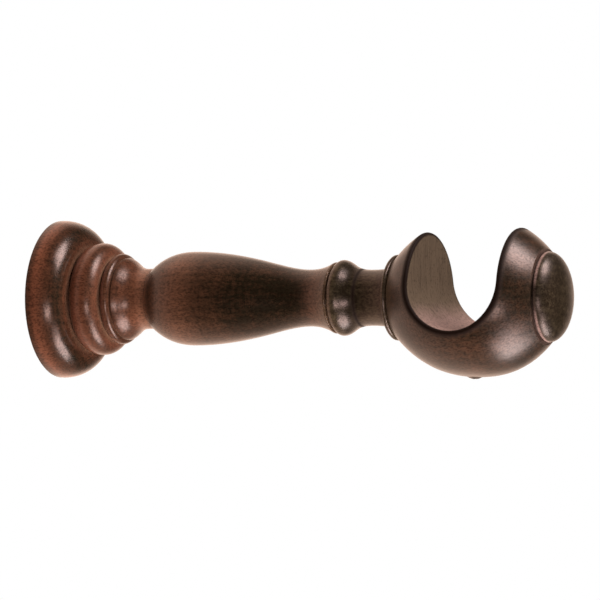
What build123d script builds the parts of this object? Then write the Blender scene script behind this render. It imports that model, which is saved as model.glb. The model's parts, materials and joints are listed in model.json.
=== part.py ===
"""Curtain pole bracket turned from one length of hardwood, with the screw that locks the pole.

The origin is the centre of the face that meets the wall. +X runs out from the wall along the
turning axis, +Z is up, and the pole lies in its cradle along Y. All sizes are in millimetres.
A slope is the change of radius for each millimetre along the turning axis.
"""

import os
from math import radians, tan

from build123d import *

# Pole cradle, bored across the ball and open at the top
pole_diameter = 28.0
pole_clearance = 0.2
cradle_setback = 1.45
cradle_rise = 4.5
cradle_rim_round = 0.75

# Rounding of the turned edges, and the width of the grooves that part the members
edge_round = 0.15
groove_width = 0.4

# Wall rose: straight band, rounded rim, torus and bead
rose_radius = 24.5
rose_back_chamfer = 0.15
rose_band = 0.9
rim_length = 9.1
rim_drop = 6.9
torus_width = 9.0
torus_radius = 17.35
torus_rise = 2.45
rose_bead_width = 3.0
rose_bead_radius = 14.0
rose_bead_rise = 1.6

# Ogee and neck between the rose and the arm
rose_ogee_rise = 0.4
rose_ogee_start_slope = -0.3
rose_ogee_length = 2.6
rose_ogee_radius = 11.1
rose_ogee_slope = -0.85
rose_cove_length = 4.2
neck_radius = 9.3
neck_length = 2.85

# Vase-shaped arm: shoulder, long taper, waist and flare
shoulder_length = 13.7
shoulder_slope = 0.89
vase_radius = 14.4
taper_length = 22.95
taper_radius = 11.5
taper_slope = -0.23
waist_length = 15.9
waist_radius = 8.6
flare_length = 8.35
flare_slope = 0.565
lip_rise = 1.05
lip_width = 0.5

# Arm bead, the ogee that it falls away in, and the throat
arm_bead_length = 1.65
arm_bead_radius = 11.45
arm_bead_rise = 1.75
arm_ogee_length = 2.9
arm_ogee_radius = 10.15
arm_ogee_slope = -0.71
arm_cove_length = 6.65
throat_radius = 8.42
throat_length = 7.25
throat_end_radius = 9.25
throat_end_slope = 0.28

# Collar, ball and end cap
collar_width = 1.7
collar_radius = 12.85
collar_rise = 1.0
ball_start_rise = 0.9
ball_start_slope = 1.06
ball_inner_length = 24.75
ball_radius = 23.7
ball_outer_length = 21.2
ball_end_radius = 14.25
ball_end_slope = -1.11
cap_groove_depth = 1.65
cap_rise = 0.75
cap_edge_round = 0.4
cap_length = 6.05

# Pilot hole for the wall screw
wall_pilot_radius = 2.75
wall_pilot_depth = 30.0
drill_point_angle = 118.0

# Pole screw: raised countersunk head, its seat and its hole
screw_head_radius = 2.6
screw_head_rise = 0.9
screw_head_angle = 90.0
screw_shank_radius = 1.5
screw_point_length = 3.0
screw_tip_setback = 1.2
screw_sink = 0.3
screw_hole_clearance = 0.05
recess_length = 2.8
recess_width = 0.6
recess_depth = 1.3

# Points of the turned outline, as (distance from the wall, radius)
rim_start = (rose_band, rose_radius)
rim_end = (rose_band + rim_length, rose_radius - rim_drop)
rim_foot = (rim_end[0], torus_radius - torus_rise)
torus_start = (rim_foot[0] + groove_width, rim_foot[1])
torus_crest = (torus_start[0] + torus_width / 2, torus_radius)
torus_end = (torus_start[0] + torus_width, rose_bead_radius - rose_bead_rise)
rose_bead_start = (torus_end[0] + groove_width, torus_end[1])
rose_bead_crest = (rose_bead_start[0] + rose_bead_width / 2, rose_bead_radius)
rose_bead_end = (rose_bead_start[0] + rose_bead_width, torus_end[1])
rose_ogee_foot = (rose_bead_end[0] + groove_width, torus_end[1])
rose_ogee_start = (rose_ogee_foot[0], rose_ogee_foot[1] + rose_ogee_rise)
rose_ogee = (rose_ogee_start[0] + rose_ogee_length, rose_ogee_radius)
neck_start = (rose_ogee[0] + rose_cove_length, neck_radius)
neck_end = (neck_start[0] + neck_length, neck_radius)
vase_crest = (neck_end[0] + shoulder_length, vase_radius)
taper_end = (vase_crest[0] + taper_length, taper_radius)
waist = (taper_end[0] + waist_length, waist_radius)
lip_start = (waist[0] + flare_length, arm_bead_radius - arm_bead_rise + lip_rise)
lip_end = (lip_start[0] + lip_width, lip_start[1])
lip_foot = (lip_end[0], arm_bead_radius - arm_bead_rise)
arm_bead_start = (lip_foot[0] + groove_width, lip_foot[1])
arm_bead_crest = (arm_bead_start[0] + arm_bead_length, arm_bead_radius)
arm_ogee = (arm_bead_crest[0] + arm_ogee_length, arm_ogee_radius)
throat = (arm_ogee[0] + arm_cove_length, throat_radius)
throat_end = (throat[0] + throat_length, throat_end_radius)
collar_start = (throat_end[0], collar_radius - collar_rise)
collar_crest = (collar_start[0] + collar_width / 2, collar_radius)
collar_end = (collar_start[0] + collar_width, collar_start[1])
ball_foot = (collar_end[0] + groove_width, collar_start[1])
ball_start = (ball_foot[0], ball_foot[1] + ball_start_rise)
ball_crest = (ball_start[0] + ball_inner_length, ball_radius)
ball_end = (ball_crest[0] + ball_outer_length, ball_end_radius)
cap_groove_start = (ball_end[0], ball_end_radius - cap_groove_depth)
cap_groove_end = (cap_groove_start[0] + groove_width, cap_groove_start[1])
cap_start = (cap_groove_end[0], cap_groove_end[1] + cap_rise - cap_edge_round)
cap_crest = (cap_start[0] + cap_edge_round, cap_groove_end[1] + cap_rise)
cap_tip = (cap_crest[0] + cap_length, 0)
rounded_edges = (rose_ogee_start, lip_end, ball_start, ball_end)

# Places that follow from the sizes above
cradle_radius = pole_diameter / 2 + pole_clearance
cradle_x = ball_crest[0] - cradle_setback
pilot_point_length = wall_pilot_radius / tan(radians(drill_point_angle / 2))
screw_seat_z = screw_sink - ball_radius
screw_length = cradle_rise - cradle_radius - screw_tip_setback - screw_seat_z
screw_hole_radius = screw_shank_radius + screw_hole_clearance
head_cone_slope = tan(radians(screw_head_angle / 2))
screw_axis = Axis((cradle_x, 0, 0), (0, 0, 1))

# The outline is drawn on a plane turned low to the back, so that the seam of the turned faces
# crosses neither the cradle nor the screw hole
seam_turn = -60.0
turning_plane = Plane.XY.rotated((seam_turn, 0, 0))

# The screw and its hole are drawn on a plane turned towards the wall, so that their seams stay
# clear of the widest line of the ball
screw_plane = Plane(origin=(cradle_x, 0, screw_seat_z), x_dir=(-1, 1, 0), z_dir=(1, 1, 0))


def flow(start, start_slope, end, end_slope):
    """Draw a smooth run between two outline points that leaves and arrives at the given slopes."""
    third = (end[0] - start[0]) / 3
    leaving = (start[0] + third, start[1] + start_slope * third)
    arriving = (end[0] - third, end[1] - end_slope * third)
    return Bezier(start, leaving, arriving, end)


def rise(start, crest):
    """Draw a quarter ellipse that climbs straight out from the start and levels off at the crest."""
    return EllipticalCenterArc(
        (crest[0], start[1]), crest[0] - start[0], crest[1] - start[1], 90, arc_size=90
    )


def fall(crest, end):
    """Draw a quarter ellipse that leaves the crest level and drops straight in at the end."""
    return EllipticalCenterArc((crest[0], end[1]), end[0] - crest[0], crest[1] - end[1], arc_size=90)


os.makedirs("parts", exist_ok=True)

# Turned bracket
with BuildPart() as turned_bracket:
    with BuildSketch(turning_plane):
        with BuildLine():
            Polyline(
                (0, 0),
                (0, rose_radius - rose_back_chamfer),
                (rose_back_chamfer, rose_radius),
                rim_start,
            )
            fall(rim_start, rim_end)
            Polyline(rim_end, rim_foot, torus_start)
            rise(torus_start, torus_crest)
            fall(torus_crest, torus_end)
            Line(torus_end, rose_bead_start)
            rise(rose_bead_start, rose_bead_crest)
            fall(rose_bead_crest, rose_bead_end)
            Polyline(rose_bead_end, rose_ogee_foot, rose_ogee_start)
            flow(rose_ogee_start, rose_ogee_start_slope, rose_ogee, rose_ogee_slope)
            flow(rose_ogee, rose_ogee_slope, neck_start, 0)
            Line(neck_start, neck_end)
            flow(neck_end, shoulder_slope, vase_crest, 0)
            flow(vase_crest, 0, taper_end, taper_slope)
            flow(taper_end, taper_slope, waist, 0)
            flow(waist, 0, lip_start, flare_slope)
            Polyline(lip_start, lip_end, lip_foot, arm_bead_start)
            rise(arm_bead_start, arm_bead_crest)
            flow(arm_bead_crest, 0, arm_ogee, arm_ogee_slope)
            flow(arm_ogee, arm_ogee_slope, throat, 0)
            flow(throat, 0, throat_end, throat_end_slope)
            Line(throat_end, collar_start)
            rise(collar_start, collar_crest)
            fall(collar_crest, collar_end)
            Polyline(collar_end, ball_foot, ball_start)
            flow(ball_start, ball_start_slope, ball_crest, 0)
            flow(ball_crest, 0, ball_end, ball_end_slope)
            Polyline(ball_end, cap_groove_start, cap_groove_end, cap_start)
            rise(cap_start, cap_crest)
            fall(cap_crest, cap_tip)
            Line(cap_tip, (0, 0))
        make_face()
    revolve(axis=Axis.X)
    circles = turned_bracket.edges().filter_by(GeomType.CIRCLE)
    fillet(
        [
            min(circles, key=lambda edge: abs(edge.arc_center.X - x) + abs(edge.radius - radius))
            for x, radius in rounded_edges
        ],
        edge_round,
    )

    # Cradle: a bore for the pole, opened straight up between two ears with rounded rims
    with BuildSketch(Plane.XZ):
        with Locations((cradle_x, cradle_rise)):
            Circle(cradle_radius)
            Rectangle(2 * cradle_radius, ball_radius, align=(Align.CENTER, Align.MIN))
    extrude(amount=ball_radius, both=True, mode=Mode.SUBTRACT)
    cradle_rim = turned_bracket.edges(Select.LAST).filter_by(GeomType.LINE, reverse=True)
    fillet(cradle_rim, cradle_rim_round)

    # Drilled pilot hole for the wall screw
    with BuildSketch(turning_plane):
        with BuildLine():
            Polyline(
                (0, 0),
                (0, wall_pilot_radius),
                (wall_pilot_depth, wall_pilot_radius),
                (wall_pilot_depth + pilot_point_length, 0),
                close=True,
            )
        make_face()
    revolve(axis=Axis.X, mode=Mode.SUBTRACT)

    # Countersunk hole for the pole screw, drilled up into the cradle
    with BuildSketch(screw_plane):
        with BuildLine():
            Polyline(
                (0, -ball_radius),
                (screw_head_radius, -ball_radius),
                (screw_head_radius, 0),
                (screw_hole_radius, (screw_head_radius - screw_hole_radius) / head_cone_slope),
                (screw_hole_radius, cradle_rise - screw_seat_z),
                (0, cradle_rise - screw_seat_z),
                close=True,
            )
        make_face()
    revolve(axis=screw_axis, mode=Mode.SUBTRACT)

turned_bracket.part.label = "turned_bracket"
export_step(turned_bracket.part, "parts/turned_bracket.step")

# Pole screw
with BuildPart() as pole_screw:
    with BuildSketch(screw_plane):
        with BuildLine():
            RadiusArc(
                (0, -screw_head_rise),
                (screw_head_radius, 0),
                -(screw_head_radius**2 + screw_head_rise**2) / (2 * screw_head_rise),
            )
            Polyline(
                (screw_head_radius, 0),
                (screw_shank_radius, (screw_head_radius - screw_shank_radius) / head_cone_slope),
                (screw_shank_radius, screw_length - screw_point_length),
                (0, screw_length),
                (0, -screw_head_rise),
            )
        make_face()
    revolve(axis=screw_axis)

    # Cross recess in the head
    with BuildSketch(Plane(screw_plane.origin - (0, 0, screw_head_rise))):
        Rectangle(recess_length, recess_width)
        Rectangle(recess_width, recess_length)
    extrude(amount=recess_depth, mode=Mode.SUBTRACT)

pole_screw.part.label = "pole_screw"
export_step(pole_screw.part, "parts/pole_screw.step")
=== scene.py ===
"""Dress a turned wooden curtain pole bracket: stain, lacquer, pole screw and a pale studio."""

import json
import math
from collections import namedtuple

import bpy
import numpy as np
from bpy.props import FloatProperty, FloatVectorProperty, IntProperty, PointerProperty
from mathutils import Matrix, Vector


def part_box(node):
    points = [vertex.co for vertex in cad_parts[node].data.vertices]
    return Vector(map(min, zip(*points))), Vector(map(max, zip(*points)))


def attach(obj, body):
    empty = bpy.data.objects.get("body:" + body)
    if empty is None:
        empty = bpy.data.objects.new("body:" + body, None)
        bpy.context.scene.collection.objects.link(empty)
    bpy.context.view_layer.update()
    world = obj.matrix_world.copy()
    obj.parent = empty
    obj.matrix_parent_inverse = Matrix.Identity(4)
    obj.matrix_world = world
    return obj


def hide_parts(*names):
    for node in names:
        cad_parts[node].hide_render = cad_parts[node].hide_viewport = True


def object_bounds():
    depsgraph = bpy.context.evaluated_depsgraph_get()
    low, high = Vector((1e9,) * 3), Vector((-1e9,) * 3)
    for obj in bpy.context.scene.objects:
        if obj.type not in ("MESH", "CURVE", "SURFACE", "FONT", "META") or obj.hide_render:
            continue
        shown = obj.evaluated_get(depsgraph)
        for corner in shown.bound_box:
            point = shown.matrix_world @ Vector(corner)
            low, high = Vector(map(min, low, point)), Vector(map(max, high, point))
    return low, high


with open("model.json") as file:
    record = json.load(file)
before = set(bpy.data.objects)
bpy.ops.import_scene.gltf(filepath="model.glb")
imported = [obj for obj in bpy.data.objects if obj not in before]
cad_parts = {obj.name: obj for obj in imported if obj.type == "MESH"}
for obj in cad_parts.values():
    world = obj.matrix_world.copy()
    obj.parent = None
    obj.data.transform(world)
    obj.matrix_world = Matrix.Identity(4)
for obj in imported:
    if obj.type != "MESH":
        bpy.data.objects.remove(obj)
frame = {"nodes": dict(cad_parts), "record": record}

bl_info = {
    "name": "Turned Curtain Pole Bracket",
    "version": (1, 0, 0),
    "blender": (4, 5, 0),
    "location": "3D View > Sidebar > Bracket",
    "description": "Finishes a turned wooden curtain pole bracket and sets it in a pale studio",
    "category": "Object",
}

CAD_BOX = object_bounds()
MILLIMETRE = 0.001
PICTURE_WIDTH = 600
CRADLE = next(m for m in frame["record"]["mounts"] if m["name"] == "pole_cradle")
CRADLE_RADIUS = CRADLE["dims"]["r_mm"] * MILLIMETRE
POLE_ALONG, POLE_HEIGHT = CRADLE["pos_m"][0], CRADLE["pos_m"][2]
BRACKET_LENGTH = CAD_BOX[1][0]
SCREW_LOW, SCREW_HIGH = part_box("pole_screw")

# How dark the stain took at each share of the bracket's length, from the wall out. A few stops are
# painted light and shade, as noted below.
STAIN_AND_LIGHT_DEPTHS = (
    # rim of the rose; the dark stop at 0.0 is painted shade along the rose's back edge
    (0.0, 0.9), (0.007, 0.6), (0.017, 0.02), (0.024, 0.34), (0.036, 0.74), (0.053, 0.94),
    (0.0585, 0.8),
    # torus and bead of the rose; 0.0602 is partly painted light on the wall after the rim, 0.118 a
    # painted highlight
    (0.0602, 0.0), (0.078, 0.0), (0.104, 0.66), (0.118, 0.2), (0.133, 0.68),
    # ogee, cove and neck
    (0.157, 0.56), (0.186, 0.0),
    # vase-shaped arm
    (0.198, 0.45), (0.208, 0.85), (0.23, 0.72), (0.27, 0.45), (0.325, 0.82), (0.4, 0.97),
    (0.49, 1.0),
    # lip, arm bead, throat and collar
    (0.561, 0.62), (0.593, 0.99), (0.648, 0.86), (0.692, 0.82),
    # ball
    (0.721, 0.99), (0.8, 0.96), (0.86, 0.87), (0.92, 0.97), (0.945, 0.93),
    # end cap
    (0.965, 0.93), (1.0, 0.97),
)
# How rough the lacquer is at each share of the length, as a share of its usual roughness.
LACQUER_SHARES = (
    # rim, torus and bead of the rose
    (0.0, 0.84), (0.055, 0.84), (0.075, 0.98), (0.12, 0.98),
    # neck and arm
    (0.15, 0.9), (0.3, 0.92), (0.56, 0.88),
    # arm bead, throat and ball
    (0.61, 0.88), (0.66, 1.03), (0.94, 1.03),
    # end cap
    (0.965, 1.12), (1.0, 1.12),
)
# Where the thin stain changes its colour, as (start, end) of each change in metres from the wall.
ROSE_TO_ARM = (26 * MILLIMETRE, 33 * MILLIMETRE)
ARM_TO_BEAD = (88 * MILLIMETRE, 98 * MILLIMETRE)
THROAT_TO_BALL = (115 * MILLIMETRE, 121 * MILLIMETRE)
BALL_TO_CAP = (160 * MILLIMETRE, 163 * MILLIMETRE)

# Grain: where the pith lies from the axis, its lean in radians, how little the rings change along
# it, and how many rings they drift by.
PITH_OFFSET = (0.0, 0.021, 0.047)
GRAIN_LEAN = (0.0, 0.035, -0.028)
RING_STRETCH = (0.06, 1.0, 1.0)
RING_DRIFT = 2.2
# Patterns, as bumps for each metre along the bracket, across it and up.
DRIFT_SCALE = (12.0, 90.0, 90.0)
MOTTLE_SCALE = (70.0, 130.0, 130.0)
FLECK_SCALE = (700.0, 1100.0, 1100.0)
BORE_MARK_SCALE = (1500.0, 1500.0, 160.0)
TOOL_MARK_SCALE = 25.0
STEEL_BLOTCH_SCALE = (900.0, 900.0, 900.0)
STEEL_SCRATCH_SCALE = (1500.0, 1500.0, 14000.0)
# Width of a fibre and of a speck as a share of its length, and of a pore as a share of its cell.
FIBRE_SLIMNESS, SPECK_SLIMNESS, PORE_IN_CELL = 0.1, 0.5, 0.25
# Values of each pattern between which it comes in or fades out.
RING_STEP = (0.05, 0.5)
PORE_STEP = (0.06, 0.24)
SPECK_STEP = (0.4, 0.7)
# Openness from ambient occlusion between which the painted light in grooves comes in.
GROOVE_LIGHT_STEP = (0.3, 0.8)
BORE_MARK_STEP = (0.42, 0.75)
BORE_FLECK_STEP = (0.55, 0.75)
STEEL_BLOTCH_STEP = (0.4, 0.7)
# Distances between which the bored wall and its dark inner edge end, and the cap's painted
# highlight comes in.
WALL_STEP = (0.02 * MILLIMETRE, 0.25 * MILLIMETRE)
INNER_EDGE_STEP = (0.7 * MILLIMETRE, 1.3 * MILLIMETRE)
CAP_HIGHLIGHT_HEIGHT_STEP = (2 * MILLIMETRE, 7 * MILLIMETRE)
# Shares of its own width between which the rim's dark band and the cap's painted highlight fade
# out.
RIM_BAND_STEP = (0.5, 1.3)
CAP_HIGHLIGHT_STEP = (0.2, 0.5)
# How far each pattern moves the stain's depth, and the share of that on thin stain and what dark
# stain takes off it.
STAIN_PATTERNS = {"mottle": 0.6, "rings": 0.1, "tool": 0.3, "fibre": 0.4, "fleck": 0.7}
BARE_SPREAD, DARK_LOSS = 1.05, 0.5
# How strongly stain shows in pores, in specks and where it pooled, the last together with the
# painted shade at the bead's foot.
PORE_SHARE, SPECK_SHARE, POOLED_AND_SHADE_SHARE = 0.55, 0.5, 0.92
# How strongly the painted shade at the bead's foot, the painted highlight in the cap's groove and
# the stain line inside the cradle's rim show.
FOOT_SHADE_SHARE, CAP_HIGHLIGHT_SHARE, INNER_EDGE_SHARE = 0.9, 0.75, 0.95
# What is left of the cap's painted highlight level with the axis.
CAP_HIGHLIGHT_LEFT = 0.1
# Depth of the stain from which no painted light shows in a groove.
GROOVE_LIGHT_LIMIT = 0.9
# How strongly marks and flecks show on the bored wall, and the marks' tone against the wall's.
BORE_MARK_SHARE, BORE_FLECK_SHARE, BORE_MARK_TONE = 0.7, 0.6, 0.45
# Lacquer: how its roughness varies, how much shine is left where it is open, and its index.
LACQUER_SWING, BARE_SHINE, LACQUER_IOR = 0.12, 0.1, 1.46
# Relief of fibres and of the tool's rings against that of flecks, and the strength of the bump.
FIBRE_RELIEF, TOOL_RELIEF, WOOD_BUMP = 0.4, 0.5, 0.3
# The ball is close to an egg: its width as a share of its length.
EGG_SHARE = 0.84
# Height of the painted light on the cradle's floor, and how far mottle moves its edge.
FLOOR_LIGHT_HEIGHT, FLOOR_LIGHT_DRIFT = 11.5 * MILLIMETRE, 4 * MILLIMETRE

# Steel: its least roughness and what blotches add, their tone, and the scratches' bump and depth.
STEEL_ROUGHNESS, STEEL_SWING, STEEL_BLOTCH_TONE = 0.28, 0.2, 0.35
STEEL_BUMP, STEEL_SCRATCH = 0.2, 0.02 * MILLIMETRE
# Screw: rows of points on each part, the recess wall's width and the rise of its floor, as shares.
CROWN_ROWS, CONE_ROWS, SHANK_ROWS, POINT_ROWS = 70, 12, 190, 70
RECESS_WALL, RECESS_TAPER = 0.12, 0.6

FLOOR_RINGS, FLOOR_SIDES = 12, 96
# Soft lights: turn and lift from the camera in degrees, distance and size in metres, and power
# in watts.
SOFTBOXES = (
    ("overhead_softbox", 69, 50, 0.75, (0.39, 0.39), 9.0),
    ("under_softbox", 73, -59, 0.55, (0.36, 0.25), 4.0),
    ("side_softbox", 48, -44, 1.0, (0.5, 0.4), 3.1),
    ("front_softbox", 10, -18, 0.9, (0.34, 0.2), 3.7),
)
# Pale surroundings: turn and lift from the camera in degrees, the cosines where each starts and is
# full, and its level.
GLOWS = (
    (-128, 0, 0.05, 0.6, 1.06),
    (-98, 0, 0.7, 0.97, 0.5),
    (172, 0, 0.75, 0.97, 0.95),
    (-138, 64, 0.82, 0.97, 0.58),
    (-155, -66, 0.6, 0.95, 0.54),
    (85, 5, 0.75, 0.98, 0.25),
)


def colour(name, description, default):
    """A colour that the user can set, in linear light."""
    return FloatVectorProperty(
        name=name, description=description, default=default, subtype="COLOR", size=3, min=0, max=1
    )


def length(name, description, default):
    """A length in metres that the user can set, given here in millimetres."""
    return FloatProperty(
        name=name, description=description, default=default * MILLIMETRE, unit="LENGTH", precision=5
    )


def share(name, description, default):
    """A number from 0 to 1 that the user can set."""
    return FloatProperty(
        name=name, description=description, default=default, subtype="FACTOR", min=0, max=1
    )


def strength(name, description, default):
    """A number from 0 up that the user can set."""
    return FloatProperty(name=name, description=description, default=default, min=0)


def angle(name, description, default):
    """An angle that the user can set, given here in degrees."""
    return FloatProperty(
        name=name, description=description, default=math.radians(default), subtype="ANGLE"
    )


class WoodFinish(bpy.types.PropertyGroup):
    """Stain, grain and lacquer of the turned wood."""

    light_stain: colour(
        "Light stain", "Stain where the rose took up little of it", (0.186, 0.062, 0.033)
    )
    tan_stain: colour(
        "Tan stain", "Stain where the arm and the ball took up little of it", (0.19, 0.076, 0.041)
    )
    olive_stain: colour(
        "Olive stain", "Stain where the thin members took up little of it", (0.165, 0.115, 0.068)
    )
    dark_stain: colour(
        "Dark stain", "Stain where the wood took up most of it", (0.0112, 0.0076, 0.0036)
    )
    # Also the colour of the painted shade at the arm bead's foot.
    pooled_stain_and_shade: colour(
        "Pooled stain", "Stain that gathered in pores and on cut edges", (0.006, 0.0022, 0.0014)
    )
    cradle_wood: colour(
        "Cradle wood", "Thinner stain on the bored wall of the cradle", (0.091, 0.061, 0.04)
    )
    # Painted light: the paler colour on the cradle's upward-facing floor and the cap's painted
    # highlight.
    pale_painted_light: colour(
        "Worn wood", "Stain rubbed thin on the cradle's floor and in the cap's groove",
        (0.35, 0.21, 0.183),
    )
    # Painted light in closed-in grooves, partly thinner stain.
    groove_thin_stain_and_light: colour(
        "Groove wood", "Thinner stain down in the turned grooves", (0.3, 0.16, 0.1)
    )
    lacquer_tint: colour("Lacquer tint", "Warm tint of the lacquer's shine", (1.0, 0.68, 0.61))
    ring_spacing: length("Ring spacing", "Distance between growth rings", 2.6)
    fibre_width: length("Fibre width", "Width of the fine streaks along the grain", 0.5)
    pore_width: length("Pore width", "Width of the open pores", 0.22)
    pore_length: length("Pore length", "Length of the open pores", 1.6)
    speckle_width: length("Speckle width", "Width of the fine open specks in the lacquer", 0.45)
    relief: length("Relief", "Depth of the pores and fibres under the lacquer", 0.05)
    rim_band: length("Rim band", "Width of the dark stain around the cradle's rim", 2.0)
    ball_radius: length("Ball radius", "Radius of the ball at its widest", 23.7)
    ball_crest: length(
        "Ball crest", "Distance of the ball's widest line beyond the pole's line", 1.4
    )
    # Reach of the ambient occlusion that places the painted light in grooves.
    groove_light_reach: length("Groove reach", "How far the thinner stain spreads from a groove", 2.4)
    bead_foot: length(
        "Bead foot", "Distance from the wall to the outer foot of the arm's bead", 102.7
    )
    # Width of the painted shade at the bead's foot.
    foot_shade_width: length("Foot line", "Width of the stain that gathered at the bead's foot", 2.0)
    cap_length: length("Cap length", "Length of the end cap, out from its groove", 6.1)
    # Width of the painted highlight in the cap's groove.
    cap_highlight_width: length("Cap line", "Width of the rubbed line in the cap's groove", 1.8)
    tool_spacing: length(
        "Tool spacing", "Distance between the fine rings that the turning tool left", 0.45
    )
    lacquer_roughness: share("Lacquer roughness", "Roughness of the satin lacquer", 0.31)
    cradle_roughness: share(
        "Cradle roughness", "Roughness of the cradle's thinly sealed wall", 0.7
    )


class ScrewShape(bpy.types.PropertyGroup):
    """Sizes and finish of the screw that locks the pole."""

    crown_rise: length("Crown rise", "Height of the raised head above its rim", 0.9)
    shank_radius: length("Shank radius", "Radius over the thread", 1.5)
    point_length: length("Point length", "Length of the tapered point", 3.0)
    thread_pitch: length("Thread pitch", "Distance between turns of the thread", 1.15)
    thread_depth: length("Thread depth", "Height of the thread above its core", 0.42)
    recess_length: length("Recess length", "Tip to tip width of the cross recess", 2.8)
    recess_width: length("Recess width", "Width of each arm of the cross recess", 0.6)
    recess_depth: length("Recess depth", "Depth of the cross recess", 1.2)
    turns_around: IntProperty(
        name="Segments", description="Points around the screw", default=144, min=24
    )
    steel: colour("Steel", "Colour of the bronzed steel", (0.11, 0.085, 0.07))


class StudioSetup(bpy.types.PropertyGroup):
    """Floor, lights and camera."""

    floor_drop: length("Floor drop", "Height of the bracket's axis above the floor", 1000)
    floor_radius: length("Floor radius", "Radius of the round floor", 3000)
    floor_colour: colour("Floor colour", "Colour of the floor", (0.6, 0.62, 0.64))
    background: colour("Background", "Colour behind the bracket", (1.0, 1.0, 1.0))
    glow_colour: colour("Glow colour", "Colour of the pale surroundings", (1.0, 0.74, 0.6))
    light_colour: colour("Light colour", "Colour of the soft lights", (1.0, 0.98, 0.97))
    floor_roughness: share("Floor roughness", "Roughness of the floor", 0.8)
    floor_glow: strength("Floor glow", "Evenly lit paleness of the floor", 0.5)
    glow: strength("Glow", "Strength of the pale surroundings", 1.0)
    power: strength("Power", "Strength of the soft lights", 1.0)
    lens: FloatProperty(
        name="Lens", description="Focal length in millimetres", default=210, min=1, unit="CAMERA"
    )
    turn: angle("Turn", "Camera's turn from the pole towards the bracket's tip", 24.5)
    roll: angle("Roll", "Camera's roll", -0.27)
    target: FloatVectorProperty(
        name="Target", description="Point that the camera looks at",
        default=(81.55 * MILLIMETRE, 0, -0.57 * MILLIMETRE), subtype="TRANSLATION",
    )
    pixels_per_metre: FloatProperty(
        name="Pixels per metre", description="Scale of the picture at the target",
        default=3300, min=1,
    )


def add_node(tree, kind, inputs=None, **settings):
    """Add a shader node, set its own settings, and link or set its inputs by name or index."""
    node = tree.nodes.new(kind)
    for name, value in settings.items():
        setattr(node, name, value)
    for name, value in (inputs or {}).items():
        if isinstance(value, bpy.types.NodeSocket):
            tree.links.new(value, node.inputs[name])
        else:
            node.inputs[name].default_value = value
    return node


def maths(tree, operation, *values, clamp=False):
    """The output of a math node on sockets or numbers."""
    inputs = dict(enumerate(values))
    return add_node(
        tree, "ShaderNodeMath", inputs, operation=operation, use_clamp=clamp
    ).outputs[0]


def stretch(tree, vector, factors):
    """The vector with each part multiplied by its own factor."""
    inputs = {0: vector, 1: factors}
    return add_node(tree, "ShaderNodeVectorMath", inputs, operation="MULTIPLY").outputs[0]


def span(tree, vector):
    """The length of the vector."""
    node = add_node(tree, "ShaderNodeVectorMath", {0: vector}, operation="LENGTH")
    return node.outputs["Value"]


def parts_of(tree, vector):
    """The vector's three parts: along the bracket, across it and up."""
    return add_node(tree, "ShaderNodeSeparateXYZ", {0: vector}).outputs


def gap_to(tree, value, middle):
    """How far the value lies from the middle, either way."""
    return maths(tree, "ABSOLUTE", maths(tree, "SUBTRACT", value, middle))


def ramp(tree, value, low, high, to_low=0.0, to_high=1.0):
    """A smooth step of the value from low to high."""
    inputs = {
        "Value": value, "From Min": low, "From Max": high, "To Min": to_low, "To Max": to_high
    }
    return add_node(
        tree, "ShaderNodeMapRange", inputs, interpolation_type="SMOOTHSTEP"
    ).outputs[0]


def noise(tree, vector, detail=3.0, roughness=0.55):
    """Soft noise with one bump for each unit of the vector."""
    inputs = {"Vector": vector, "Scale": 1.0, "Detail": detail, "Roughness": roughness}
    return add_node(tree, "ShaderNodeTexNoise", inputs).outputs["Fac"]


def opaque(value):
    """A colour with full cover, or the socket that gives one."""
    return value if isinstance(value, bpy.types.NodeSocket) else (*value, 1.0)


def darker(value, factor):
    """A colour with each part multiplied by the factor."""
    return tuple(factor * part for part in value)


def mix_colour(tree, factor, first, second):
    """Blend two colours, each a socket or a colour."""
    inputs = {0: factor, 6: opaque(first), 7: opaque(second)}
    return add_node(tree, "ShaderNodeMix", inputs, data_type="RGBA").outputs[2]


def new_material(name):
    """An empty node material with its output node, and the tree to fill."""
    material = bpy.data.materials.new(name)
    material.use_nodes = True
    tree = material.node_tree
    tree.nodes.clear()
    return material, tree, tree.nodes.new("ShaderNodeOutputMaterial")


def cradle_gap(tree, place):
    """How far a point lies outside the cradle's wall.

    The wall is a circle about the pole's line, carried straight up. So this is the distance from
    the pole's line, with any height above that line left out, less the cradle's radius.
    """
    parts = parts_of(tree, place)
    across = maths(tree, "SUBTRACT", parts[0], POLE_ALONG)
    below = maths(tree, "MINIMUM", maths(tree, "SUBTRACT", parts[2], POLE_HEIGHT), 0.0)
    squares = (maths(tree, "MULTIPLY", way, way) for way in (across, below))
    distance = maths(tree, "SQRT", maths(tree, "ADD", *squares))
    return maths(tree, "SUBTRACT", distance, CRADLE_RADIUS)


def rim_gap(tree, place, finish):
    """How far a point on the cradle's wall lies in from the rim.

    The ball is close to an egg that is longer than it is wide. So this is the ball's radius less
    the distance from its middle, with the part along the bracket shortened by the egg's proportion.
    """
    inputs = {0: place, 1: (POLE_ALONG + finish.ball_crest, 0.0, 0.0)}
    off = add_node(tree, "ShaderNodeVectorMath", inputs, operation="SUBTRACT").outputs[0]
    distance = span(tree, stretch(tree, off, (EGG_SHARE, 1.0, 1.0)))
    return maths(tree, "SUBTRACT", finish.ball_radius, distance)


def along_bracket(tree, place, changes):
    """A value that eases from one place to the next, each given by its share of the length."""
    share_along = maths(tree, "DIVIDE", parts_of(tree, place)[0], BRACKET_LENGTH)
    curve = add_node(tree, "ShaderNodeValToRGB", {0: share_along})
    stops = curve.color_ramp.elements
    while len(stops) < len(changes):
        stops.new(0.5)
    for stop, (position, value) in zip(stops, changes):
        stop.position = position
        stop.color = (value, value, value, 1.0)
    curve.color_ramp.interpolation = "EASE"
    return curve.outputs[0]


Grain = namedtuple("Grain", "mottle rings tool fibre fleck pore speck")


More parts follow.
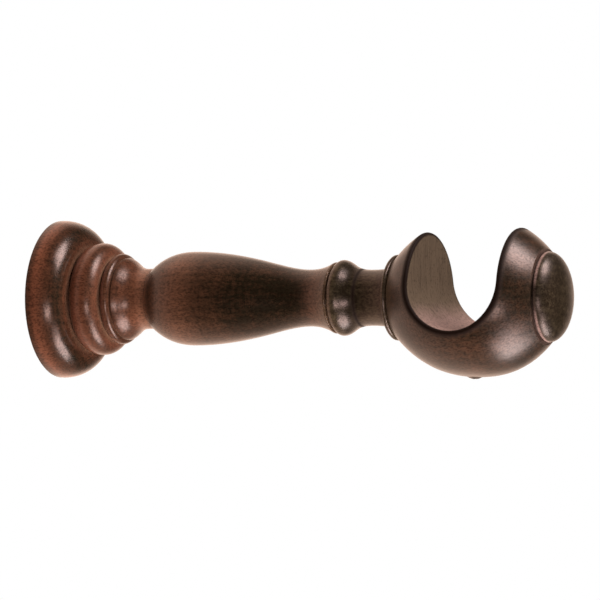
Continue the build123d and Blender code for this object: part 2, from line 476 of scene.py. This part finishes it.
def wood_grain(tree, place, finish):
    """The patterns of the turned wood, each from 0 to 1.

    Growth rings are a wave of the distance from a pith that lies off to one side, with a slow
    drift. Fibres, mottle, flecks and specks are noise drawn out along the grain. The tool's rings
    are noise drawn out around the axis, and pores are the middles of cells drawn out along the
    grain.
    """
    inputs = {"Vector": place, "Location": PITH_OFFSET, "Rotation": GRAIN_LEAN}
    grain = add_node(tree, "ShaderNodeMapping", inputs).outputs[0]

    drift = noise(tree, stretch(tree, grain, DRIFT_SCALE))
    reach = span(tree, stretch(tree, grain, RING_STRETCH))
    count = maths(
        tree, "ADD", maths(tree, "DIVIDE", reach, finish.ring_spacing),
        maths(tree, "MULTIPLY", drift, RING_DRIFT),
    )
    wave = maths(tree, "PINGPONG", maths(tree, "FRACT", count), 0.5)

    fibre_scale = 1.0 / finish.fibre_width
    fibre_scales = (FIBRE_SLIMNESS * fibre_scale, fibre_scale, fibre_scale)
    tool_scales = (1.0 / finish.tool_spacing, TOOL_MARK_SCALE, TOOL_MARK_SCALE)
    pore_scale = PORE_IN_CELL / finish.pore_width
    pore_scales = (1.0 / finish.pore_length, pore_scale, pore_scale)
    speckle_scale = 1.0 / finish.speckle_width
    speckle_scales = (SPECK_SLIMNESS * speckle_scale, speckle_scale, speckle_scale)
    inputs = {"Vector": stretch(tree, grain, pore_scales), "Scale": 1.0, "Randomness": 1.0}
    cells = add_node(tree, "ShaderNodeTexVoronoi", inputs).outputs["Distance"]
    speckle = noise(tree, stretch(tree, grain, speckle_scales), detail=1.0)
    return Grain(
        mottle=noise(tree, stretch(tree, grain, MOTTLE_SCALE), detail=4.0, roughness=0.6),
        rings=ramp(tree, wave, *RING_STEP),
        tool=noise(tree, stretch(tree, place, tool_scales), detail=2.0),
        fibre=noise(tree, stretch(tree, grain, fibre_scales), detail=4.0, roughness=0.65),
        fleck=noise(tree, stretch(tree, grain, FLECK_SCALE), detail=2.0),
        pore=ramp(tree, cells, *PORE_STEP, 1.0, 0.0),
        speck=ramp(tree, speckle, *SPECK_STEP),
    )


def rim_stain_and_foot_shade(tree, place, finish):
    """Where stain gathered in a band on the cradle's rim, and painted shade in a line at the arm
    bead's foot.
    """
    rim_step = (width * finish.rim_band for width in RIM_BAND_STEP)
    rim = ramp(tree, cradle_gap(tree, place), *rim_step, 1.0, 0.0)
    from_foot = gap_to(tree, parts_of(tree, place)[0], finish.bead_foot)
    # Painted shade: a dark line at the bead's foot.
    foot = ramp(tree, from_foot, 0.0, 0.5 * finish.foot_shade_width, FOOT_SHADE_SHARE, 0.0)
    return maths(tree, "MAXIMUM", rim, foot)


def stain_depth(tree, grain, base):
    """How dark the stain is, from 0 to 1.

    The depth along the bracket is the base. Each pattern of the grain moves it up and down by the
    pattern's own strength, and less where the base is dark.
    """
    uneven = 0.0
    for name, amount in STAIN_PATTERNS.items():
        swing = maths(tree, "MULTIPLY_ADD", getattr(grain, name), amount, -amount / 2)
        uneven = maths(tree, "ADD", uneven, swing)
    spread = maths(tree, "MULTIPLY_ADD", base, -DARK_LOSS, BARE_SPREAD)
    return maths(tree, "MULTIPLY_ADD", uneven, spread, base, clamp=True)


def thin_stain(tree, place, finish):
    """The stain's colour where it is thin.

    It is reddest on the rose, tan on the arm and the ball, and olive from the arm's bead to the
    throat and on the cap.
    """
    along = parts_of(tree, place)[0]
    past_rose, past_arm, past_throat, past_ball = (
        ramp(tree, along, *change)
        for change in (ROSE_TO_ARM, ARM_TO_BEAD, THROAT_TO_BALL, BALL_TO_CAP)
    )
    thin_member = maths(tree, "ADD", maths(tree, "SUBTRACT", past_arm, past_throat), past_ball)
    light = mix_colour(tree, past_rose, finish.light_stain, finish.tan_stain)
    return mix_colour(tree, thin_member, light, finish.olive_stain)


def groove_light_share(tree, base, finish):
    """Where painted light shows in a groove, partly as thinner stain: more where ambient occlusion
    finds it closed in and where the stain is thin.
    """
    openness = add_node(
        tree, "ShaderNodeAmbientOcclusion", {"Distance": finish.groove_light_reach},
        samples=8, only_local=True,
    ).outputs["AO"]
    thinness = maths(tree, "SUBTRACT", GROOVE_LIGHT_LIMIT, base, clamp=True)
    return maths(tree, "MULTIPLY", ramp(tree, openness, *GROOVE_LIGHT_STEP, 1.0, 0.0), thinness)


def cap_groove_highlight(tree, place, finish):
    """Where a painted highlight lies in the cap's groove: a line around the cap that fades level
    with the axis.
    """
    parts = parts_of(tree, place)
    from_line = gap_to(tree, parts[0], BRACKET_LENGTH - finish.cap_length)
    line_step = (width * finish.cap_highlight_width for width in CAP_HIGHLIGHT_STEP)
    line = ramp(tree, from_line, *line_step, CAP_HIGHLIGHT_SHARE, 0.0)
    height = maths(tree, "ABSOLUTE", parts[2])
    return maths(tree, "MULTIPLY", line, ramp(tree, height, *CAP_HIGHLIGHT_HEIGHT_STEP, CAP_HIGHLIGHT_LEFT, 1.0))


def bored_wall(tree, place, grain, finish):
    """The colour of the cradle's wall.

    It is thinly stained wood, made paler towards the floor by painted light, with upright marks and
    flecks that the bore left, and a dark line of stain just inside the rim.
    """
    floor = POLE_HEIGHT - CRADLE_RADIUS
    # Painted light: paler towards the cradle's floor.
    height = maths(tree, "MULTIPLY_ADD", grain.mottle, FLOOR_LIGHT_DRIFT, parts_of(tree, place)[2])
    floor_light = ramp(tree, height, floor, floor + FLOOR_LIGHT_HEIGHT, 1.0, 0.0)
    marks = noise(tree, stretch(tree, place, BORE_MARK_SCALE), detail=3.0, roughness=0.6)
    streak = ramp(tree, marks, *BORE_MARK_STEP, 0.0, BORE_MARK_SHARE)
    fleck = ramp(tree, grain.fleck, *BORE_FLECK_STEP, 0.0, BORE_FLECK_SHARE)
    edge = ramp(tree, rim_gap(tree, place, finish), *INNER_EDGE_STEP, INNER_EDGE_SHARE, 0.0)
    tone = mix_colour(tree, floor_light, finish.cradle_wood, finish.pale_painted_light)
    tone = mix_colour(tree, streak, tone, darker(finish.cradle_wood, BORE_MARK_TONE))
    tone = mix_colour(tree, fleck, tone, finish.dark_stain)
    return mix_colour(tree, edge, tone, finish.pooled_stain_and_shade)


def stained_wood(finish):
    """Stained and lacquered wood, its grain along the bracket's axis.

    The colour goes from the thin stain to the dark one by the stain's depth. Painted light shows as
    paler colour in the grooves, partly as thinner stain, and as a painted highlight in the cap's
    groove. Stain lies darker in pores and specks and where it pooled, and painted shade darkens a
    line at the arm bead's foot. The cradle's bored wall has its own colour. The lacquer is open
    over specks, and it is dull where stain pooled, on the painted shade and on the bored wall.
    """
    material, tree, output = new_material("stained_wood")
    place = add_node(tree, "ShaderNodeTexCoord").outputs["Object"]
    grain = wood_grain(tree, place, finish)
    base = along_bracket(tree, place, STAIN_AND_LIGHT_DEPTHS)
    # Pooled stain on the rim, with the painted shade at the bead's foot.
    pooled = rim_stain_and_foot_shade(tree, place, finish)
    cradle = ramp(tree, cradle_gap(tree, place), *WALL_STEP, 1.0, 0.0)

    tone = mix_colour(
        tree, stain_depth(tree, grain, base), thin_stain(tree, place, finish), finish.dark_stain
    )
    # Painted light: paler colour where the grooves are closed in.
    tone = mix_colour(tree, groove_light_share(tree, base, finish), tone, finish.groove_thin_stain_and_light)
    # Painted highlight in the cap's groove, strongest above and below the axis.
    tone = mix_colour(tree, cap_groove_highlight(tree, place, finish), tone, finish.pale_painted_light)
    pore, speck, pool_and_shade = (
        maths(tree, "MULTIPLY", pattern, amount)
        for pattern, amount in (
            (grain.pore, PORE_SHARE), (grain.speck, SPECK_SHARE), (pooled, POOLED_AND_SHADE_SHARE)
        )
    )
    # The last mask also holds the painted shade at the bead's foot.
    for stained in (pore, speck, pool_and_shade):
        tone = mix_colour(tree, stained, tone, finish.pooled_stain_and_shade)
    tone = mix_colour(tree, cradle, tone, bored_wall(tree, place, grain, finish))

    satin = maths(
        tree, "MULTIPLY", along_bracket(tree, place, LACQUER_SHARES), finish.lacquer_roughness
    )
    swing = maths(tree, "SUBTRACT", grain.mottle, 0.5)
    satin = maths(tree, "MULTIPLY_ADD", swing, LACQUER_SWING, satin)
    dull = maths(tree, "MAXIMUM", cradle, pooled)
    duller = finish.cradle_roughness - finish.lacquer_roughness
    bare = maths(tree, "MAXIMUM", pooled, speck)
    height = maths(tree, "MULTIPLY_ADD", grain.fibre, FIBRE_RELIEF, grain.fleck)
    height = maths(tree, "SUBTRACT", height, grain.pore)
    height = maths(tree, "MULTIPLY_ADD", grain.tool, TOOL_RELIEF, height)
    inputs = {"Strength": WOOD_BUMP, "Distance": finish.relief, "Height": height}
    shader = add_node(
        tree, "ShaderNodeBsdfPrincipled",
        {
            "Base Color": tone,
            "Roughness": maths(tree, "MULTIPLY_ADD", dull, duller, satin),
            "IOR": LACQUER_IOR,
            "Normal": add_node(tree, "ShaderNodeBump", inputs).outputs[0],
            "Specular Tint": mix_colour(
                tree, bare, finish.lacquer_tint, darker(finish.lacquer_tint, BARE_SHINE)
            ),
        },
    )
    tree.links.new(shader.outputs[0], output.inputs[0])
    return material


def bronzed_steel(shape):
    """Dark bronzed steel with fine scratches around the screw's axis."""
    material, tree, output = new_material("bronzed_steel")
    place = add_node(tree, "ShaderNodeTexCoord").outputs["Object"]
    blotch = noise(tree, stretch(tree, place, STEEL_BLOTCH_SCALE))
    scratches = noise(tree, stretch(tree, place, STEEL_SCRATCH_SCALE), detail=2.0)
    tone = mix_colour(
        tree, ramp(tree, blotch, *STEEL_BLOTCH_STEP),
        shape.steel, darker(shape.steel, STEEL_BLOTCH_TONE),
    )
    added = maths(tree, "MULTIPLY", blotch, STEEL_SWING)
    inputs = {"Strength": STEEL_BUMP, "Distance": STEEL_SCRATCH, "Height": scratches}
    shader = add_node(
        tree, "ShaderNodeBsdfPrincipled",
        {
            "Base Color": tone,
            "Roughness": maths(tree, "ADD", STEEL_ROUGHNESS, added),
            "Metallic": 1.0,
            "Normal": add_node(tree, "ShaderNodeBump", inputs).outputs[0],
        },
    )
    tree.links.new(shader.outputs[0], output.inputs[0])
    return material


def turned_mesh(name, points):
    """A mesh from a grid of points whose columns close on themselves and whose end rows are poles.

    points has shape (rows, columns, 3), and the first and last rows each hold one repeated point.
    Faces join neighbouring rows and columns, with a fan of triangles at each pole.
    """
    rows, columns = points.shape[:2]
    inner = points[1:-1].reshape(-1, 3)
    vertices = np.vstack([inner, points[0, :1], points[-1, :1]])
    index = np.arange((rows - 2) * columns).reshape(rows - 2, columns)
    beside = np.roll(index, -1, axis=1)
    quads = np.stack([index[:-1], beside[:-1], beside[1:], index[1:]], axis=-1).reshape(-1, 4)
    first, last = len(inner), len(inner) + 1
    top = np.stack([np.full(columns, first), beside[0], index[0]], axis=-1)
    bottom = np.stack([np.full(columns, last), index[-1], beside[-1]], axis=-1)
    mesh = bpy.data.meshes.new(name)
    mesh.from_pydata(vertices.tolist(), [], quads.tolist() + top.tolist() + bottom.tolist())
    mesh.polygons.foreach_set("use_smooth", np.ones(len(mesh.polygons), dtype=bool))
    mesh.update()
    return mesh


def soft_step(value):
    """0 below 0, 1 above 1 and a smooth cubic between."""
    value = np.clip(value, 0.0, 1.0)
    return value * value * (3.0 - 2.0 * value)


def screw_points(shape):
    """The screw's surface as a grid of rows along its outline and columns around its axis.

    The outline is a round crown, a cone at 45 degrees, a shank and a point. The thread is a sine
    ridge that climbs one pitch for each turn and fades in below the head. The cross recess lowers
    the crown inside two crossed bars, deepest at the middle.
    """
    head_radius = (SCREW_HIGH.x - SCREW_LOW.x) / 2
    seat = SCREW_LOW.z + shape.crown_rise
    top = SCREW_HIGH.z - seat
    cone = head_radius - shape.shank_radius
    ball = (head_radius**2 + shape.crown_rise**2) / (2 * shape.crown_rise)

    crown_radius = np.linspace(0.0, head_radius, CROWN_ROWS)
    crown_height = ball - shape.crown_rise - np.sqrt(ball**2 - crown_radius**2)
    cone_share = np.linspace(0.0, 1.0, CONE_ROWS)[1:]
    shank_height = np.linspace(cone, top - shape.point_length, SHANK_ROWS)[1:]
    point_share = np.linspace(0.0, 1.0, POINT_ROWS)[1:]
    radius = np.concatenate([
        crown_radius,
        head_radius - cone * cone_share,
        np.full(len(shank_height), shape.shank_radius),
        shape.shank_radius * (1.0 - point_share),
    ])
    height = np.concatenate([
        crown_height,
        cone * cone_share,
        shank_height,
        top - shape.point_length * (1.0 - point_share),
    ])

    around = np.linspace(0.0, 2.0 * np.pi, shape.turns_around, endpoint=False)
    turn, rise = np.meshgrid(around, height)
    reach = np.repeat(radius[:, None], len(around), axis=1)
    ridge = 0.5 + 0.5 * np.cos(2.0 * np.pi * rise / shape.thread_pitch - turn)
    fade = soft_step((rise - cone) / shape.thread_pitch - 0.5)
    depth = np.minimum(shape.thread_depth, 0.5 * reach)
    reach = reach - fade * depth * (1.0 - ridge**2)

    side = reach * np.cos(turn)
    front = reach * np.sin(turn)
    wall = RECESS_WALL * shape.recess_width

    def bar(length_way, width_way):
        """1 inside one bar of the cross, falling to 0 over its sloped wall."""
        inside = soft_step((shape.recess_width / 2 - np.abs(width_way)) / wall)
        return inside * soft_step((shape.recess_length / 2 - np.abs(length_way)) / (4 * wall))

    recess = np.maximum(bar(side, front), bar(front, side))
    taper = 1.0 - RECESS_TAPER * np.hypot(side, front) / (shape.recess_length / 2)
    on_crown = (np.arange(len(height)) < len(crown_radius))[:, None]
    sunk = shape.recess_depth * recess * np.clip(taper, 0.0, 1.0)
    rise = rise + np.where(on_crown, sunk, 0.0)

    centre_x = (SCREW_LOW.x + SCREW_HIGH.x) / 2
    centre_y = (SCREW_LOW.y + SCREW_HIGH.y) / 2
    return np.stack([centre_x + side, centre_y + front, seat + rise], axis=-1)


class BRACKET_OT_dress_wood(bpy.types.Operator):
    """Give the turned bracket its stain, grain and lacquer"""

    bl_idname = "bracket.dress_wood"
    bl_label = "Dress Turned Bracket"

    def execute(self, context):
        node = frame["nodes"]["turned_bracket"]
        node.data.materials.clear()
        node.data.materials.append(stained_wood(context.scene.wood_finish))
        return {"FINISHED"}


class BRACKET_OT_make_screw(bpy.types.Operator):
    """Make the threaded pole screw with its cross recess"""

    bl_idname = "bracket.make_screw"
    bl_label = "Make Pole Screw"

    def execute(self, context):
        shape = context.scene.screw_shape
        mesh = turned_mesh("pole_screw_threaded", screw_points(shape))
        mesh.materials.append(bronzed_steel(shape))
        screw = bpy.data.objects.new("pole_screw_threaded", mesh)
        context.scene.collection.objects.link(screw)
        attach(screw, "root")
        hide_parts("pole_screw")
        return {"FINISHED"}


def toward(studio, turn, lift):
    """The direction that is turned to the right of the camera and lifted above it, in degrees."""
    around = studio.turn + math.radians(turn)
    rise = math.radians(lift)
    level = math.cos(rise)
    return Vector((math.sin(around) * level, -math.cos(around) * level, math.sin(rise)))


def softbox(studio, name, turn, lift, distance, size, power):
    """A rectangular soft light that faces the target and that the camera doesn't see."""
    light = bpy.data.lights.new(name, "AREA")
    light.shape = "RECTANGLE"
    light.size, light.size_y = size
    light.energy = power * studio.power
    light.color = studio.light_colour
    lamp = bpy.data.objects.new(name, light)
    direction = toward(studio, turn, lift)
    lamp.location = Vector(studio.target) + direction * distance
    lamp.rotation_euler = direction.to_track_quat("Z", "Y").to_euler()
    lamp.visible_camera = False
    bpy.context.scene.collection.objects.link(lamp)


def pale_floor(studio):
    """A plain pale floor that also glows evenly."""
    material, tree, output = new_material("pale_floor")
    shader = add_node(
        tree, "ShaderNodeBsdfPrincipled",
        {
            "Base Color": opaque(studio.floor_colour),
            "Roughness": studio.floor_roughness,
            "Emission Color": (1.0, 1.0, 1.0, 1.0),
            "Emission Strength": studio.floor_glow,
        },
    )
    tree.links.new(shader.outputs[0], output.inputs[0])
    return material


def studio_floor(studio):
    """A round floor, its points on rings about the bracket's target, that only the camera sees."""
    radius = np.linspace(0.0, studio.floor_radius, FLOOR_RINGS)
    turn = np.linspace(0.0, 2.0 * np.pi, FLOOR_SIDES, endpoint=False)
    reach, around = np.meshgrid(radius, turn, indexing="ij")
    points = np.stack(
        [
            studio.target[0] + reach * np.cos(around),
            studio.target[1] + reach * np.sin(around),
            np.full_like(reach, -studio.floor_drop),
        ],
        axis=-1,
    )
    index = np.arange(points[..., 0].size).reshape(points.shape[:2])
    beside = np.roll(index, -1, axis=1)
    quads = np.stack([index[:-1], index[1:], beside[1:], beside[:-1]], axis=-1)[1:].reshape(-1, 4)
    fan = np.stack([index[0], index[1], beside[1]], axis=-1)
    mesh = bpy.data.meshes.new("studio_floor")
    mesh.from_pydata(points.reshape(-1, 3).tolist(), [], quads.tolist() + fan.tolist())
    mesh.materials.append(pale_floor(studio))
    floor = bpy.data.objects.new("studio_floor", mesh)
    floor.visible_diffuse = floor.visible_glossy = floor.visible_shadow = False
    bpy.context.scene.collection.objects.link(floor)


def studio_world(studio):
    """A white background for the camera, and pale surroundings that the bracket reflects.

    Each glow is a smooth step on the cosine between a ray and the glow's own direction.
    """
    world = bpy.data.worlds.new("studio_world")
    world.use_nodes = True
    tree = world.node_tree
    tree.nodes.clear()
    ray = add_node(tree, "ShaderNodeTexCoord").outputs["Generated"]
    total = 0.0
    for turn, lift, low, high, level in GLOWS:
        inputs = {0: ray, 1: toward(studio, turn, lift)}
        cosine = add_node(tree, "ShaderNodeVectorMath", inputs, operation="DOT_PRODUCT")
        glow = ramp(tree, cosine.outputs["Value"], low, high, 0.0, level * studio.glow)
        total = maths(tree, "ADD", glow, total)
    seen = add_node(
        tree, "ShaderNodeBackground", {"Color": opaque(studio.background), "Strength": 1.0}
    )
    around = add_node(
        tree, "ShaderNodeBackground", {"Color": opaque(studio.glow_colour), "Strength": total}
    )
    to_camera = add_node(tree, "ShaderNodeLightPath").outputs["Is Camera Ray"]
    inputs = {0: to_camera, 1: around.outputs[0], 2: seen.outputs[0]}
    mixed = add_node(tree, "ShaderNodeMixShader", inputs)
    output = tree.nodes.new("ShaderNodeOutputWorld")
    tree.links.new(mixed.outputs[0], output.inputs[0])
    bpy.context.scene.world = world


def studio_camera(studio):
    """A level camera at the photograph's angle, as far off as its scale and lens ask."""
    data = bpy.data.cameras.new("camera")
    data.lens = studio.lens
    focal_pixels = studio.lens / data.sensor_width * PICTURE_WIDTH
    distance = focal_pixels / studio.pixels_per_metre
    camera = bpy.data.objects.new("camera", data)
    direction = toward(studio, 0, 0)
    place = Matrix.Translation(Vector(studio.target) + direction * distance)
    look = direction.to_track_quat("Z", "Y").to_matrix().to_4x4()
    camera.matrix_world = place @ look @ Matrix.Rotation(studio.roll, 4, "Z")
    bpy.context.scene.collection.objects.link(camera)
    bpy.context.scene.camera = camera


class BRACKET_OT_build_studio(bpy.types.Operator):
    """Set up the floor, the soft lights, the background and the camera"""

    bl_idname = "bracket.build_studio"
    bl_label = "Build Studio"

    def execute(self, context):
        studio = context.scene.studio_setup
        studio_floor(studio)
        studio_world(studio)
        for lamp in SOFTBOXES:
            softbox(studio, *lamp)
        studio_camera(studio)
        context.scene.view_settings.view_transform = "Standard"
        return {"FINISHED"}


class BRACKET_PT_sidebar(bpy.types.Panel):
    """Buttons and settings of the bracket's finish"""

    bl_label = "Curtain Pole Bracket"
    bl_idname = "BRACKET_PT_sidebar"
    bl_space_type = "VIEW_3D"
    bl_region_type = "UI"
    bl_category = "Bracket"

    def draw(self, context):
        for operator, group in STEPS:
            box = self.layout.box()
            box.operator(operator.bl_idname)
            settings = getattr(context.scene, group)
            for name in settings.__annotations__:
                box.prop(settings, name)


STEPS = (
    (BRACKET_OT_dress_wood, "wood_finish"),
    (BRACKET_OT_make_screw, "screw_shape"),
    (BRACKET_OT_build_studio, "studio_setup"),
)
GROUPS = {"wood_finish": WoodFinish, "screw_shape": ScrewShape, "studio_setup": StudioSetup}
CLASSES = (*GROUPS.values(), *(operator for operator, group in STEPS), BRACKET_PT_sidebar)


def register():
    """Add the classes and the scene's settings."""
    for cls in CLASSES:
        bpy.utils.register_class(cls)
    for name, group in GROUPS.items():
        setattr(bpy.types.Scene, name, PointerProperty(type=group))


def unregister():
    """Remove the settings and the classes."""
    for name in GROUPS:
        delattr(bpy.types.Scene, name)
    for cls in reversed(CLASSES):
        bpy.utils.unregister_class(cls)


def main():
    register()
    bpy.ops.bracket.dress_wood()
    bpy.ops.bracket.make_screw()
    bpy.ops.bracket.build_studio()


if __name__ == "__main__":
    main()
